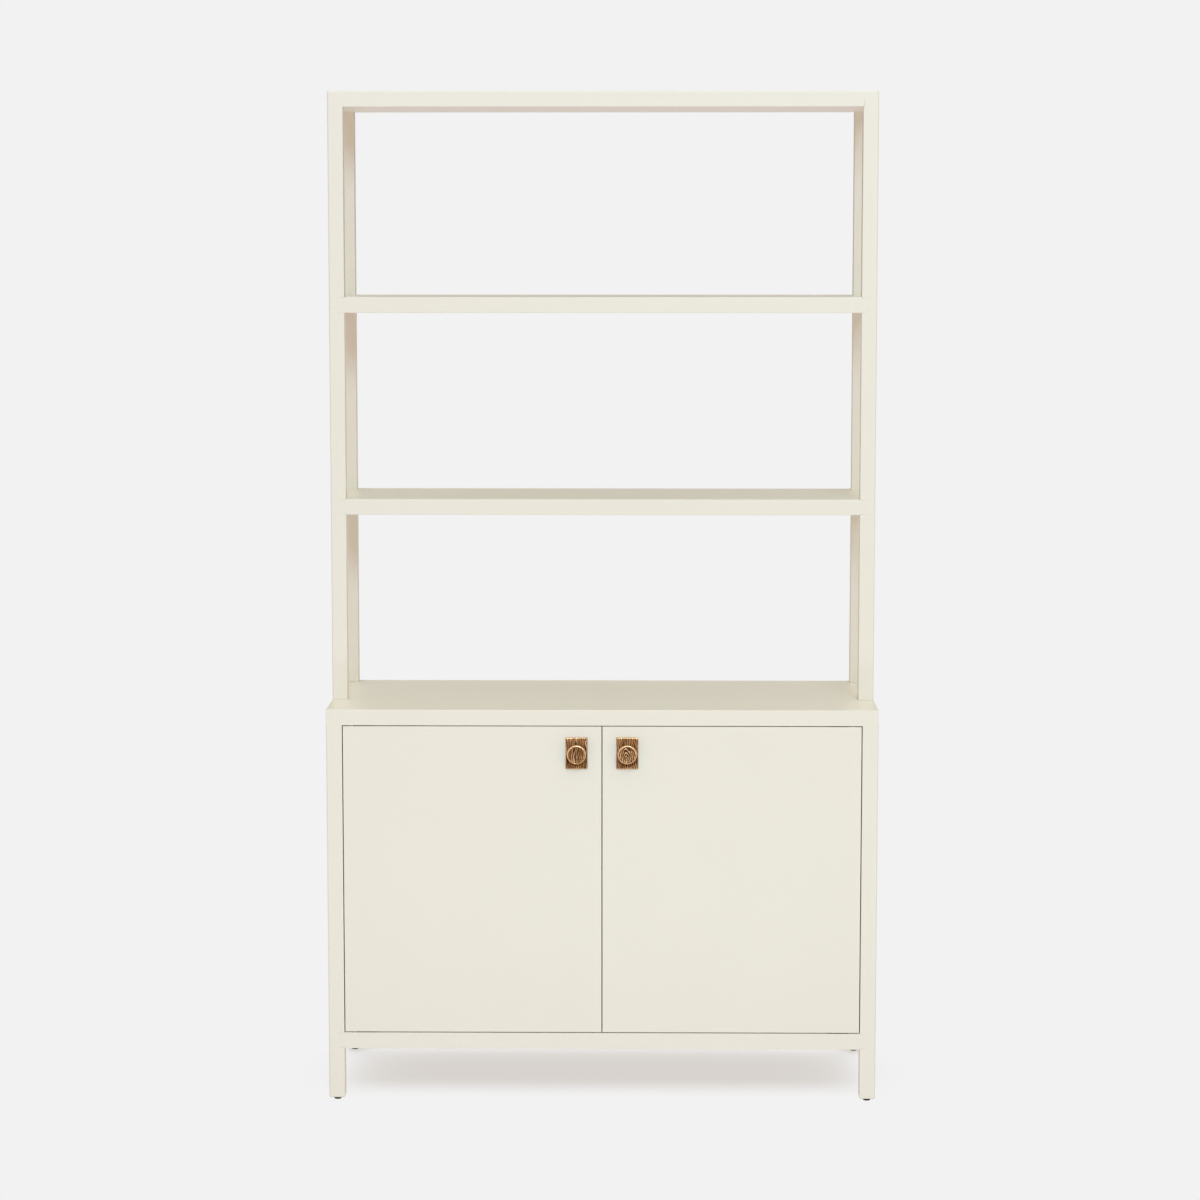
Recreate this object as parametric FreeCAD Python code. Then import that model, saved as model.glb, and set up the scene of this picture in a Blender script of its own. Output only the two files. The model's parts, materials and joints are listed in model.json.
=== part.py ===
import FreeCAD, Part
import os

# Bookcase with hutch: a two-door base cabinet on short square legs, and an open hutch on top of it.
# All lengths are in millimetres. X runs to the right, Y to the back and Z up. The origin lies on the
# floor, in the middle of the width and of the depth over the knobs.

# Overall sizes
overall_width = 1219.0
overall_height = 2241.0
base_depth = 457.0
base_height = 883.0
hutch_depth = 305.0
edge_round = 1.0
overrun = 5.0  # how far each cut runs past the face that it opens
seat_gap = 0.2  # between parts that are slipped into one another

# Frame of the base cabinet
leg_size = 35.0
rail_underside_height = 119.0
rail_height = 36.0
base_top_thickness = 35.0

# Panels of the base cabinet
bottom_panel_thickness = 18.0
bottom_panel_rebate = 10.0
side_panel_outer_recess = 4.0
side_panel_inner_recess = 5.0
back_panel_thickness = 9.0
back_panel_recess = 4.0
back_panel_rebate = 10.0

# Shelf inside the cabinet, on four pins in rows of holes
cabinet_shelf_thickness = 22.0
cabinet_shelf_end_gap = 1.5
cabinet_shelf_front_setback = 25.0
cabinet_shelf_back_gap = 3.0
shelf_pin_radius = 2.5
shelf_pin_depth = 9.0
shelf_pin_reach = 9.0
shelf_pin_paddle_width = 9.0
shelf_pin_paddle_height = 5.0
shelf_pin_from_edge = 60.0
pin_hole_pitch = 32.0
pin_hole_count = 7
pin_hole_extra_depth = 1.0

# Glides under the legs
glide_height = 6.0
glide_radius = 8.0
glide_round = 1.2
glide_stem_radius = 3.5
glide_stem_length = 18.0

# Doors
door_thickness = 22.0
door_gap = 2.0
door_edge_round = 0.8

# Knobs on their backplates
plate_width = 48.0
plate_height = 70.0
plate_thickness = 4.0
plate_round = 0.8
plate_centre_from_door_top = 59.0
plate_centre_from_door_edge = 55.0
knob_radius = 21.2
knob_foot_radius = 11.5
knob_neck_radius = 8.5
knob_neck_length = 15.0
knob_disc_thickness = 9.0
knob_back_round = 4.0
knob_rim_radius = 1.8
knob_face_depth = 2.2
knob_bolt_radius = 2.0
knob_bolt_in_knob = 12.0
knob_bolt_head_radius = 4.6
knob_bolt_head_height = 2.6

# Pivot hinges hidden in the top and bottom edges of the doors
pivot_from_edge = 20.0
pivot_from_front = 8.0
leaf_width = 12.0
leaf_length = 56.0
leaf_thickness = 2.5
hinge_pin_radius = 3.0
hinge_pin_in_door = 9.0
hinge_pin_bore_gap = 0.6
washer_radius = 5.5
running_gap = 0.05  # radial, between each hinge pin and the leaf that turns on it
lift_gap = 0.3  # between each washer and the leaf that turns over it
leaf_screw_shares = (0.38, 0.72)  # screws along a leaf, from its pivot end

# Magnetic catch under the base top, and its strike plates on the doors
catch_width = 50.0
catch_depth = 15.0
catch_height = 14.0
catch_flange_length = 12.0
catch_flange_thickness = 2.5
catch_contact_gap = 0.3
magnet_width = 17.0
magnet_height = 9.0
magnet_depth = 9.0
magnet_from_centre = 12.5
strike_width = 18.0
strike_height = 13.0
strike_thickness = 1.2
strike_below_door_top = 1.5

# Screws and dowels
screw_radius = 1.6
screw_head_radius = 3.2
screw_head_height = 1.5
screw_length = 15.0
small_screw_length = 12.0
fastener_fit = 0.05  # radial
dowel_radius = 4.0
dowel_depth = 15.0  # in each of the two members that it joins
dowel_end_gap = 1.0
slab_dowel_share = 0.4  # of a slab's thickness
rail_dowel_shares = (0.22, 0.78)  # of the height of the front and back rails
panel_dowel_shares = (0.2, 0.8)  # of each edge of a side panel
back_screw_shares = (0.08, 0.5, 0.92)  # of the back panel's height

# Hutch
post_size = 34.0
hutch_top_thickness = 35.0
hutch_shelf_thickness = 35.0
lower_bay_height = 418.0
middle_bay_height = 416.0
locating_dowel_radius = 5.0
locating_dowel_depth = 16.0
shelf_dowel_shares = (0.2, 0.8)  # of the length of a side rail
joining_plate_width = 20.0
joining_plate_length = 64.0
joining_plate_thickness = 2.0
joining_screw_shares = (0.22, 0.78)  # of the plate's length

# Places that follow from the sizes
half_width = overall_width / 2
knob_projection = plate_thickness + knob_neck_length + knob_disc_thickness
back_y = (base_depth + knob_projection) / 2
front_y = back_y - base_depth
hutch_front_y = back_y - hutch_depth
leg_inner_x = half_width - leg_size
leg_centre_x = half_width - leg_size / 2
rail_centre_z = rail_underside_height + rail_height / 2
opening_bottom_z = rail_underside_height + rail_height
opening_top_z = base_height - base_top_thickness
panel_outer_x = half_width - side_panel_outer_recess
panel_inner_x = leg_inner_x + side_panel_inner_recess
panel_front_y = front_y + leg_size
panel_back_y = back_y - leg_size
back_panel_back_y = back_y - back_panel_recess
back_panel_front_y = back_panel_back_y - back_panel_thickness
back_panel_half_width = leg_inner_x + back_panel_rebate - seat_gap
shelf_seat_z = (opening_bottom_z + opening_top_z - cabinet_shelf_thickness) / 2
door_back_y = front_y + door_thickness
door_bottom_z = opening_bottom_z + door_gap
door_top_z = opening_top_z - door_gap
door_hinge_x = leg_inner_x - door_gap
door_meeting_x = door_gap / 2
pivot_x = door_hinge_x - pivot_from_edge
pivot_y = front_y + pivot_from_front
knob_x = door_meeting_x + plate_centre_from_door_edge
knob_z = door_top_z - plate_centre_from_door_top
plate_front_y = front_y - plate_thickness
strike_back_y = door_back_y + strike_thickness
catch_front_y = strike_back_y + catch_contact_gap
magnet_z = opening_top_z - catch_flange_thickness - (catch_height - catch_flange_thickness) / 2
post_inner_x = half_width - post_size
post_centre_x = half_width - post_size / 2
hutch_top_z = overall_height - hutch_top_thickness
lower_shelf_z = base_height + lower_bay_height
upper_shelf_z = lower_shelf_z + hutch_shelf_thickness + middle_bay_height
hutch_rail_front_y = hutch_front_y + post_size
hutch_rail_back_y = back_y - post_size

LEFT = -1
RIGHT = 1
SIDES = {"left": LEFT, "right": RIGHT}
UP = FreeCAD.Vector(0, 0, 1)
DOWN = FreeCAD.Vector(0, 0, -1)
TO_RIGHT = FreeCAD.Vector(1, 0, 0)
TO_BACK = FreeCAD.Vector(0, 1, 0)
TO_FRONT = FreeCAD.Vector(0, -1, 0)


def block(xs, ys, zs):
    """A box between two x, two y and two z places, given in any order."""
    low = FreeCAD.Vector(min(xs), min(ys), min(zs))
    high = FreeCAD.Vector(max(xs), max(ys), max(zs))
    size = high - low
    return Part.makeBox(size.x, size.y, size.z, low)


def rod(start, direction, length, radius):
    return Part.makeCylinder(radius, length, start, direction)


def rounded(shape, radius, wanted):
    """Rounds the edges whose middle point the function wanted picks."""
    edges = [edge for edge in shape.Edges if wanted(edge.CenterOfMass)]
    return shape.makeFillet(radius, edges)


def same(a, b):
    return abs(a - b) < edge_round / 10


def cut_all(shape, tools):
    """Cuts the tools from a shape and gives back the one solid that is left."""
    return shape.cut(tools).Solids[0] if tools else shape


def export(name, *solids):
    """Writes one node, as one solid or as a group of separate like solids."""
    shape = solids[0] if len(solids) == 1 else Part.makeCompound(list(solids))
    shape.exportStep("parts/" + name + ".step")


class Dowel:
    """A dowel across a joint: so deep before the joint's face and so deep after it."""

    def __init__(self, joint, direction, before, after, radius):
        self.joint = joint
        self.direction = direction
        self.before = before
        self.after = after
        self.radius = radius

    def solid(self):
        start = self.joint - self.direction * self.before
        return rod(start, self.direction, self.before + self.after, self.radius)

    def hole(self):
        start = self.joint - self.direction * (self.before + dowel_end_gap)
        length = self.before + self.after + 2 * dowel_end_gap
        return rod(start, self.direction, length, self.radius + fastener_fit)


def frame_dowel(joint, direction):
    return Dowel(joint, direction, dowel_depth, dowel_depth, dowel_radius)


def slab_dowel(joint, slab_thickness):
    """A dowel that comes up out of an upright into the slab on top of it."""
    return Dowel(joint, UP, dowel_depth, slab_thickness * slab_dowel_share, dowel_radius)


def share_of(low, high, share):
    return low + (high - low) * share


def screw(point, direction, length, spare=0):
    """A countersunk screw whose head is flush at the point. A hole for it is the same with some spare."""
    head = Part.makeCone(
        screw_head_radius + spare, screw_radius + spare, screw_head_height, point, direction)
    return head.fuse(rod(point, direction, length + spare, screw_radius + spare)).removeSplitter()


def leg_corner(side, end):
    """The centre of a leg in the plan, with end -1 at the front and 1 at the back."""
    y = front_y + leg_size / 2 if end < 0 else back_y - leg_size / 2
    return side * leg_centre_x, y


CORNERS = [(side, end) for side in (LEFT, RIGHT) for end in (-1, 1)]


# Dowels of the base cabinet

def rail_dowels():
    """Two dowels in each end of the front and back rails, one in each end of the side rails."""
    dowels = []
    for side, end in CORNERS:
        x, y = leg_corner(side, end)
        for share in rail_dowel_shares:
            z = rail_underside_height + rail_height * share
            dowels.append(frame_dowel(FreeCAD.Vector(side * leg_inner_x, y, z), TO_RIGHT))
        joint_y = panel_front_y if end < 0 else panel_back_y
        dowels.append(frame_dowel(FreeCAD.Vector(x, joint_y, rail_centre_z), TO_BACK))
    return dowels


def leg_top_dowels():
    return [
        slab_dowel(FreeCAD.Vector(*leg_corner(side, end), opening_top_z), base_top_thickness)
        for side, end in CORNERS
    ]


def panel_dowels():
    """Two dowels in each of the four edges of the side panels."""
    dowels = []
    for side in (LEFT, RIGHT):
        x = side * (panel_outer_x + panel_inner_x) / 2
        for share in panel_dowel_shares:
            y = share_of(panel_front_y, panel_back_y, share)
            z = share_of(opening_bottom_z, opening_top_z, share)
            dowels.append(frame_dowel(FreeCAD.Vector(x, y, opening_bottom_z), UP))
            dowels.append(slab_dowel(FreeCAD.Vector(x, y, opening_top_z), base_top_thickness))
            dowels.append(frame_dowel(FreeCAD.Vector(x, panel_front_y, z), TO_BACK))
            dowels.append(frame_dowel(FreeCAD.Vector(x, panel_back_y, z), TO_BACK))
    return dowels


def post_place(side, end, z):
    """A point on the middle line of a hutch post."""
    y = hutch_front_y + post_size / 2 if end < 0 else back_y - post_size / 2
    return FreeCAD.Vector(side * post_centre_x, y, z)


def locating_dowels():
    """The dowels that stand in the base top and place the posts of the hutch."""
    depth_in_top = base_top_thickness * slab_dowel_share
    return [
        Dowel(post_place(side, end, base_height), UP, depth_in_top, locating_dowel_depth,
              locating_dowel_radius)
        for side, end in CORNERS
    ]


def hutch_dowels():
    """Dowels from the posts into the top, from the side rails into the posts and from the shelves."""
    dowels = []
    for side, end in CORNERS:
        dowels.append(slab_dowel(post_place(side, end, hutch_top_z), hutch_top_thickness))
    for side in (LEFT, RIGHT):
        for shelf_z in (lower_shelf_z, upper_shelf_z):
            z = shelf_z + hutch_shelf_thickness / 2
            for y in (hutch_rail_front_y, hutch_rail_back_y):
                dowels.append(frame_dowel(FreeCAD.Vector(side * post_centre_x, y, z), TO_BACK))
            for share in shelf_dowel_shares:
                y = share_of(hutch_rail_front_y, hutch_rail_back_y, share)
                dowels.append(frame_dowel(FreeCAD.Vector(side * post_inner_x, y, z), TO_RIGHT))
    return dowels


CARCASS_DOWELS = rail_dowels() + leg_top_dowels() + panel_dowels()
LOCATING_DOWELS = locating_dowels()
HUTCH_DOWELS = hutch_dowels()
DOWEL_HOLES = [dowel.hole() for dowel in CARCASS_DOWELS + LOCATING_DOWELS + HUTCH_DOWELS]


def drilled(shape, tools=[]):
    """Cuts a member's own recesses, and each dowel hole that reaches into it."""
    box = shape.BoundBox
    near = [hole for hole in DOWEL_HOLES if box.intersect(hole.BoundBox)]
    return cut_all(shape, near + tools)


# Glides

def glide(x, y):
    """A pad with a rounded foot, and the ribless stem that is pressed into the leg."""
    pad = rod(FreeCAD.Vector(x, y, 0), UP, glide_height, glide_radius)
    pad = rounded(pad, glide_round, lambda c: same(c.z, 0))
    stem = rod(FreeCAD.Vector(x, y, glide_height), UP, glide_stem_length, glide_stem_radius)
    return pad.fuse(stem).removeSplitter()


def glide_hole(x, y):
    depth = glide_stem_length + dowel_end_gap
    return rod(FreeCAD.Vector(x, y, glide_height), UP, depth, glide_stem_radius + fastener_fit)


# Back panel and its screws

def back_screws(spare=0):
    screws = []
    for side in (LEFT, RIGHT):
        x = side * (leg_inner_x + back_panel_rebate / 2)
        for share in back_screw_shares:
            z = share_of(opening_bottom_z, opening_top_z, share)
            point = FreeCAD.Vector(x, back_panel_back_y, z)
            screws.append(screw(point, TO_FRONT, screw_length, spare))
    return screws


def back_panel():
    xs = (-back_panel_half_width, back_panel_half_width)
    zs = (opening_bottom_z, opening_top_z - seat_gap)
    panel = block(xs, (back_panel_front_y, back_panel_back_y), zs)
    return cut_all(panel, back_screws(fastener_fit))


def back_rebate(side):
    xs = (side * (leg_inner_x - overrun), side * (leg_inner_x + back_panel_rebate))
    return block(xs, (back_panel_front_y, back_y + overrun), (opening_bottom_z, opening_top_z + overrun))


# Legs, rails and panels of the base cabinet

def leg(side, end):
    x, y = leg_corner(side, end)
    half = leg_size / 2
    body = block((x - half, x + half), (y - half, y + half), (glide_height, opening_top_z))
    outer_y = y + end * half
    body = rounded(body, edge_round, lambda c: same(c.x, side * half_width) and same(c.y, outer_y))
    tools = [glide_hole(x, y)]
    if end > 0:
        tools.append(back_rebate(side))
        tools.extend(back_screws(fastener_fit))
    return drilled(body, tools)


def bottom_panel():
    xs = (-leg_inner_x + seat_gap, leg_inner_x - seat_gap)
    reach = leg_size - bottom_panel_rebate + seat_gap
    ys = (front_y + reach, back_y - reach)
    return block(xs, ys, (opening_bottom_z - bottom_panel_thickness, opening_bottom_z))


def bottom_panel_rebate_cut():
    xs = (-leg_inner_x - overrun, leg_inner_x + overrun)
    reach = leg_size - bottom_panel_rebate
    ys = (front_y + reach, back_y - reach)
    zs = (opening_bottom_z - bottom_panel_thickness, opening_bottom_z + overrun)
    return block(xs, ys, zs)


def cross_rail(end):
    """The front or the back bottom rail, with the rebate that the bottom panel lies in."""
    outer = front_y if end < 0 else back_y
    inner = outer - end * leg_size
    body = block((-leg_inner_x, leg_inner_x), (outer, inner), (rail_underside_height, opening_bottom_z))
    body = rounded(body, edge_round, lambda c: same(c.y, outer) and same(c.x, 0))
    tools = [bottom_panel_rebate_cut()]
    if end < 0:
        tools += frame_leaf_cuts("bottom")
    return drilled(body, tools)


def side_rail(side):
    xs = (side * leg_inner_x, side * half_width)
    body = block(xs, (panel_front_y, panel_back_y), (rail_underside_height, opening_bottom_z))
    body = rounded(body, edge_round, lambda c: same(c.x, xs[1]) and same(c.z, rail_underside_height))
    return drilled(body)


def pin_rows(side):
    """The places where the shelf pins can go, on the inner face of a side panel."""
    middle = shelf_seat_z - shelf_pin_paddle_height / 2
    rows = [middle + (i - (pin_hole_count - 1) / 2) * pin_hole_pitch for i in range(pin_hole_count)]
    ys = (panel_front_y + shelf_pin_from_edge, panel_back_y - shelf_pin_from_edge)
    return [FreeCAD.Vector(side * panel_inner_x, y, z) for y in ys for z in rows]


def side_panel(side):
    xs = (side * panel_inner_x, side * panel_outer_x)
    body = block(xs, (panel_front_y, panel_back_y), (opening_bottom_z, opening_top_z))
    depth = shelf_pin_depth + pin_hole_extra_depth
    holes = [
        rod(place - TO_RIGHT * (side * overrun), TO_RIGHT * side, depth + overrun,
            shelf_pin_radius + fastener_fit)
        for place in pin_rows(side)
    ]
    return drilled(body, holes)


def cabinet_shelf():
    half = leg_inner_x - cabinet_shelf_end_gap
    ys = (door_back_y + cabinet_shelf_front_setback, back_panel_front_y - cabinet_shelf_back_gap)
    body = block((-half, half), ys, (shelf_seat_z, shelf_seat_z + cabinet_shelf_thickness))
    return rounded(body, edge_round, lambda c: same(c.y, ys[0]) and same(c.x, 0))


def shelf_pins():
    """Four pins in the middle row of holes, each with a flat paddle under the shelf."""
    pins = []
    for side in (LEFT, RIGHT):
        for place in pin_rows(side):
            if not same(place.z, shelf_seat_z - shelf_pin_paddle_height / 2):
                continue
            out = TO_RIGHT * side
            shank = rod(place, out, shelf_pin_depth, shelf_pin_radius)
            xs = (place.x, place.x - side * (side_panel_inner_recess + shelf_pin_reach))
            ys = (place.y - shelf_pin_paddle_width / 2, place.y + shelf_pin_paddle_width / 2)
            paddle = block(xs, ys, (shelf_seat_z - shelf_pin_paddle_height, shelf_seat_z))
            pins.append(shank.fuse(paddle).removeSplitter())
    return pins


def joining_places():
    z = base_height - joining_plate_length / 2
    return [FreeCAD.Vector(side * post_centre_x, back_y, z) for side in (LEFT, RIGHT)]


def joining_plate(place, spare=0):
    half = joining_plate_width / 2 + spare
    xs = (place.x - half, place.x + half)
    ys = (back_y - joining_plate_thickness, back_y + (overrun if spare else 0))
    return block(xs, ys, (place.z - spare, place.z + joining_plate_length + spare))


def joining_screws(spare=0):
    return [
        screw(place + UP * (joining_plate_length * share), TO_FRONT, screw_length, spare)
        for place in joining_places() for share in joining_screw_shares
    ]


def joining_cuts():
    """The housings of the two joining plates in the back faces, with their screw holes."""
    housings = [joining_plate(place, seat_gap) for place in joining_places()]
    return housings + joining_screws(fastener_fit)


def base_top():
    xs = (-half_width, half_width)
    body = block(xs, (front_y, back_y), (opening_top_z, base_height))
    body = rounded(body, edge_round, lambda c: c.z > opening_top_z + edge_round)
    tools = frame_leaf_cuts("top") + catch_screws(fastener_fit) + joining_cuts()
    return drilled(body, tools)


# Pivot hinges

def seat_z(level):
    """The face of the frame that a hinge is let into, and the way from it to the door."""
    return (opening_top_z, DOWN) if level == "top" else (opening_bottom_z, UP)


def pivot(side, z):
    return FreeCAD.Vector(side * pivot_x, pivot_y, z)


def leaf_blank(side, z, direction, spare=0, open_by=0):
    """A leaf with a round end at the pivot. It lies from z along the direction, its own thickness deep."""
    radius = leaf_width / 2 + spare
    start = pivot(side, z) - direction * open_by
    depth = leaf_thickness + open_by
    straight = leaf_length - leaf_width / 2 + spare
    xs = (start.x, start.x - side * straight)
    body = block(xs, (start.y - radius, start.y + radius), (start.z, start.z + direction.z * depth))
    return body.fuse(rod(start, direction, depth, radius)).removeSplitter()


def leaf_screw_places(side, z):
    straight = leaf_length - leaf_width / 2
    return [pivot(side, z) - TO_RIGHT * (side * straight * share) for share in leaf_screw_shares]


def leaf_screws(side, z, direction, spare=0):
    return [screw(place, direction, screw_length, spare) for place in leaf_screw_places(side, z)]


def frame_leaf(side, level):
    z, to_door = seat_z(level)
    into_frame = to_door * -1
    body = leaf_blank(side, z, into_frame)
    pin_hole = rod(pivot(side, z), into_frame, leaf_thickness, hinge_pin_radius + running_gap)
    return cut_all(body, [pin_hole] + leaf_screws(side, z, into_frame, fastener_fit))


def frame_leaf_cuts(level):
    z, to_door = seat_z(level)
    into_frame = to_door * -1
    tools = []
    for side in (LEFT, RIGHT):
        tools.append(leaf_blank(side, z, into_frame, seat_gap, overrun))
        tools.extend(leaf_screws(side, z, into_frame, fastener_fit))
    return tools


def hinge_pin(side, level):
    """The pin is fixed in the frame's leaf, crosses the door's gap and ends inside the door."""
    z, to_door = seat_z(level)
    length = leaf_thickness + door_gap + hinge_pin_in_door
    return rod(pivot(side, z) - to_door * leaf_thickness, to_door, length, hinge_pin_radius)


def hinge_washer(side, level):
    z, to_door = seat_z(level)
    thickness = door_gap - lift_gap
    ring = rod(pivot(side, z), to_door, thickness, washer_radius)
    return ring.cut(rod(pivot(side, z), to_door, thickness, hinge_pin_radius + running_gap))


def door_face(level):
    z, to_door = seat_z(level)
    return z + to_door.z * door_gap, to_door


def door_leaf(side, level):
    z, into_door = door_face(level)
    body = leaf_blank(side, z, into_door)
    pin_hole = rod(pivot(side, z), into_door, leaf_thickness, hinge_pin_radius + running_gap)
    return cut_all(body, [pin_hole] + leaf_screws(side, z, into_door, fastener_fit))


def door_leaf_cuts(side):
    tools = []
    for level in ("top", "bottom"):
        z, into_door = door_face(level)
        tools.append(leaf_blank(side, z, into_door, seat_gap, overrun))
        bore_depth = hinge_pin_in_door + dowel_end_gap
        tools.append(rod(pivot(side, z), into_door, bore_depth, hinge_pin_radius + hinge_pin_bore_gap))
        tools.extend(leaf_screws(side, z, into_door, fastener_fit))
    return tools


# Catch and strike plates

def catch_screw_places():
    x = (catch_width + catch_flange_length) / 2
    y = catch_front_y + catch_depth / 2
    z = opening_top_z - catch_flange_thickness
    return [FreeCAD.Vector(side * x, y, z) for side in (LEFT, RIGHT)]


def catch_screws(spare=0):
    return [screw(place, UP, small_screw_length, spare) for place in catch_screw_places()]


def magnet(side, spare=0):
    x = side * magnet_from_centre
    half = magnet_width / 2 + spare
    ys = (catch_front_y - (overrun if spare else 0), catch_front_y + magnet_depth + spare)
    zs = (magnet_z - magnet_height / 2 - spare, magnet_z + magnet_height / 2 + spare)
    return block((x - half, x + half), ys, zs)


def catch_housing():
    ys = (catch_front_y, catch_front_y + catch_depth)
    half = catch_width / 2
    body = block((-half, half), ys, (opening_top_z - catch_height, opening_top_z))
    reach = half + catch_flange_length
    flange = block((-reach, reach), ys, (opening_top_z - catch_flange_thickness, opening_top_z))
    housing = body.fuse(flange).removeSplitter()
    pockets = [magnet(side, seat_gap) for side in (LEFT, RIGHT)]
    return cut_all(housing, pockets + catch_screws(fastener_fit))


def strike_centre(side):
    z = door_top_z - strike_below_door_top - strike_height / 2
    return FreeCAD.Vector(side * magnet_from_centre, strike_back_y, z)


def strike_screw(side, spare=0):
    return screw(strike_centre(side), TO_FRONT, small_screw_length, spare)


def strike_plate(side):
    centre = strike_centre(side)
    xs = (centre.x - strike_width / 2, centre.x + strike_width / 2)
    zs = (centre.z - strike_height / 2, centre.z + strike_height / 2)
    return cut_all(block(xs, (door_back_y, strike_back_y), zs), [strike_screw(side, fastener_fit)])


# Doors, backplates and knobs

def knob_bolt(side, spare=0):
    """A pan-headed bolt from inside the door, through the door and the plate into the knob."""
    head_y = door_back_y
    shank_end_y = plate_front_y - knob_bolt_in_knob
    back = FreeCAD.Vector(side * knob_x, head_y, knob_z)
    shank = rod(back, TO_FRONT, head_y - shank_end_y + spare, knob_bolt_radius + spare)
    if spare:
        return shank
    head = rod(back, TO_BACK, knob_bolt_head_height, knob_bolt_head_radius)
    return shank.fuse(head).removeSplitter()


def door(side):
    xs = (side * door_meeting_x, side * door_hinge_x)
    body = block(xs, (front_y, door_back_y), (door_bottom_z, door_top_z))
    body = body.makeFillet(door_edge_round, body.Edges)
    tools = door_leaf_cuts(side)
    tools.append(knob_bolt(side, fastener_fit))
    tools.append(strike_screw(side, fastener_fit))
    return cut_all(body, tools)


def backplate(side):
    x = side * knob_x
    xs = (x - plate_width / 2, x + plate_width / 2)
    zs = (knob_z - plate_height / 2, knob_z + plate_height / 2)
    body = block(xs, (plate_front_y, front_y), zs)
    body = rounded(body, plate_round, lambda c: not same(c.y, front_y))
    return cut_all(body, [knob_bolt(side, fastener_fit)])


def knob_profile():
    """Half of the knob's section: distance from its axis, and distance out from the backplate."""
    disc_back = knob_neck_length
    front = knob_neck_length + knob_disc_thickness
    face = front - knob_face_depth
    flare = knob_foot_radius - knob_neck_radius
    neck_end = disc_back - knob_back_round
    disc_back_radius = knob_neck_radius + knob_back_round
    rim_inner = knob_radius - 2 * knob_rim_radius
    rim_crown = knob_radius - knob_rim_radius
    rim_centre = front - knob_rim_radius
    edge_end = disc_back + knob_rim_radius
    half_cos = 0.5 ** 0.5

    def at(radius, out):
        return FreeCAD.Vector(radius, 0, out)

    flare_mid = at(knob_foot_radius - flare * half_cos, flare * (1 - half_cos))
    back_mid = at(disc_back_radius - knob_back_round * half_cos, disc_back - knob_back_round * (1 - half_cos))
    edge_mid = at(
        rim_crown + knob_rim_radius * half_cos, disc_back + knob_rim_radius * (1 - half_cos))
    edges = [
        Part.LineSegment(at(0, 0), at(knob_foot_radius, 0)),
        Part.Arc(at(knob_foot_radius, 0), flare_mid, at(knob_neck_radius, flare)),
        Part.LineSegment(at(knob_neck_radius, flare), at(knob_neck_radius, neck_end)),
        Part.Arc(at(knob_neck_radius, neck_end), back_mid, at(disc_back_radius, disc_back)),
        Part.LineSegment(at(disc_back_radius, disc_back), at(rim_crown, disc_back)),
        Part.Arc(at(rim_crown, disc_back), edge_mid, at(knob_radius, edge_end)),
        Part.LineSegment(at(knob_radius, edge_end), at(knob_radius, rim_centre)),
        Part.Arc(at(knob_radius, rim_centre), at(rim_crown, front), at(rim_inner, rim_centre)),
        Part.LineSegment(at(rim_inner, rim_centre), at(rim_inner, face)),
        Part.LineSegment(at(rim_inner, face), at(0, face)),
        Part.LineSegment(at(0, face), at(0, 0)),
    ]
    return Part.Face(Part.Wire([edge.toShape() for edge in edges]))


def knob(side):
    origin = FreeCAD.Vector(0, 0, 0)
    full_turn = 360
    quarter_turn = 90
    body = knob_profile().revolve(origin, UP, full_turn)
    body = Part.Solid(body.Shells[0]) if body.ShapeType != "Solid" else body
    body.rotate(origin, TO_RIGHT, quarter_turn)
    body.translate(FreeCAD.Vector(side * knob_x, plate_front_y, knob_z))
    return cut_all(body, [knob_bolt(side, fastener_fit)])


# Hutch

def post(side, end):
    outer_y = hutch_front_y if end < 0 else back_y
    xs = (side * half_width, side * post_inner_x)
    body = block(xs, (outer_y, outer_y - end * post_size), (base_height, hutch_top_z))
    body = rounded(body, edge_round, lambda c: same(c.x, side * half_width) and same(c.y, outer_y))
    return drilled(body, joining_cuts() if end > 0 else [])


def hutch_top():
    xs = (-half_width, half_width)
    body = block(xs, (hutch_front_y, back_y), (hutch_top_z, overall_height))
    body = rounded(body, edge_round, lambda c: c.z > hutch_top_z + edge_round)
    return drilled(body)


def hutch_shelf(z):
    xs = (-post_inner_x, post_inner_x)
    body = block(xs, (hutch_front_y, back_y), (z, z + hutch_shelf_thickness))
    body = rounded(body, edge_round, lambda c: same(c.x, 0))
    return drilled(body)


def hutch_side_rail(side, z):
    xs = (side * post_inner_x, side * half_width)
    body = block(xs, (hutch_rail_front_y, hutch_rail_back_y), (z, z + hutch_shelf_thickness))
    middle_y = (hutch_rail_front_y + hutch_rail_back_y) / 2
    body = rounded(body, edge_round, lambda c: same(c.x, xs[1]) and same(c.y, middle_y))
    return drilled(body)


# Writing the nodes

def write_base():
    export("base_top", base_top())
    for side_name, side in SIDES.items():
        export("leg_front_" + side_name, leg(side, -1))
        export("leg_rear_" + side_name, leg(side, 1))
        export("bottom_rail_" + side_name, side_rail(side))
        export("side_panel_" + side_name, side_panel(side))
    export("bottom_rail_front", cross_rail(-1))
    export("bottom_rail_rear", cross_rail(1))
    export("bottom_panel", bottom_panel())
    export("back_panel", back_panel())
    export("back_panel_screws", *back_screws())
    export("cabinet_shelf", cabinet_shelf())
    export("shelf_pins", *shelf_pins())
    export("glides", *[glide(*leg_corner(side, end)) for side, end in CORNERS])
    export("carcass_dowels", *[dowel.solid() for dowel in CARCASS_DOWELS])


def write_catch():
    export("catch_housing", catch_housing())
    export("catch_magnets", *[magnet(side) for side in (LEFT, RIGHT)])
    export("catch_screws", *catch_screws())


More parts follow.
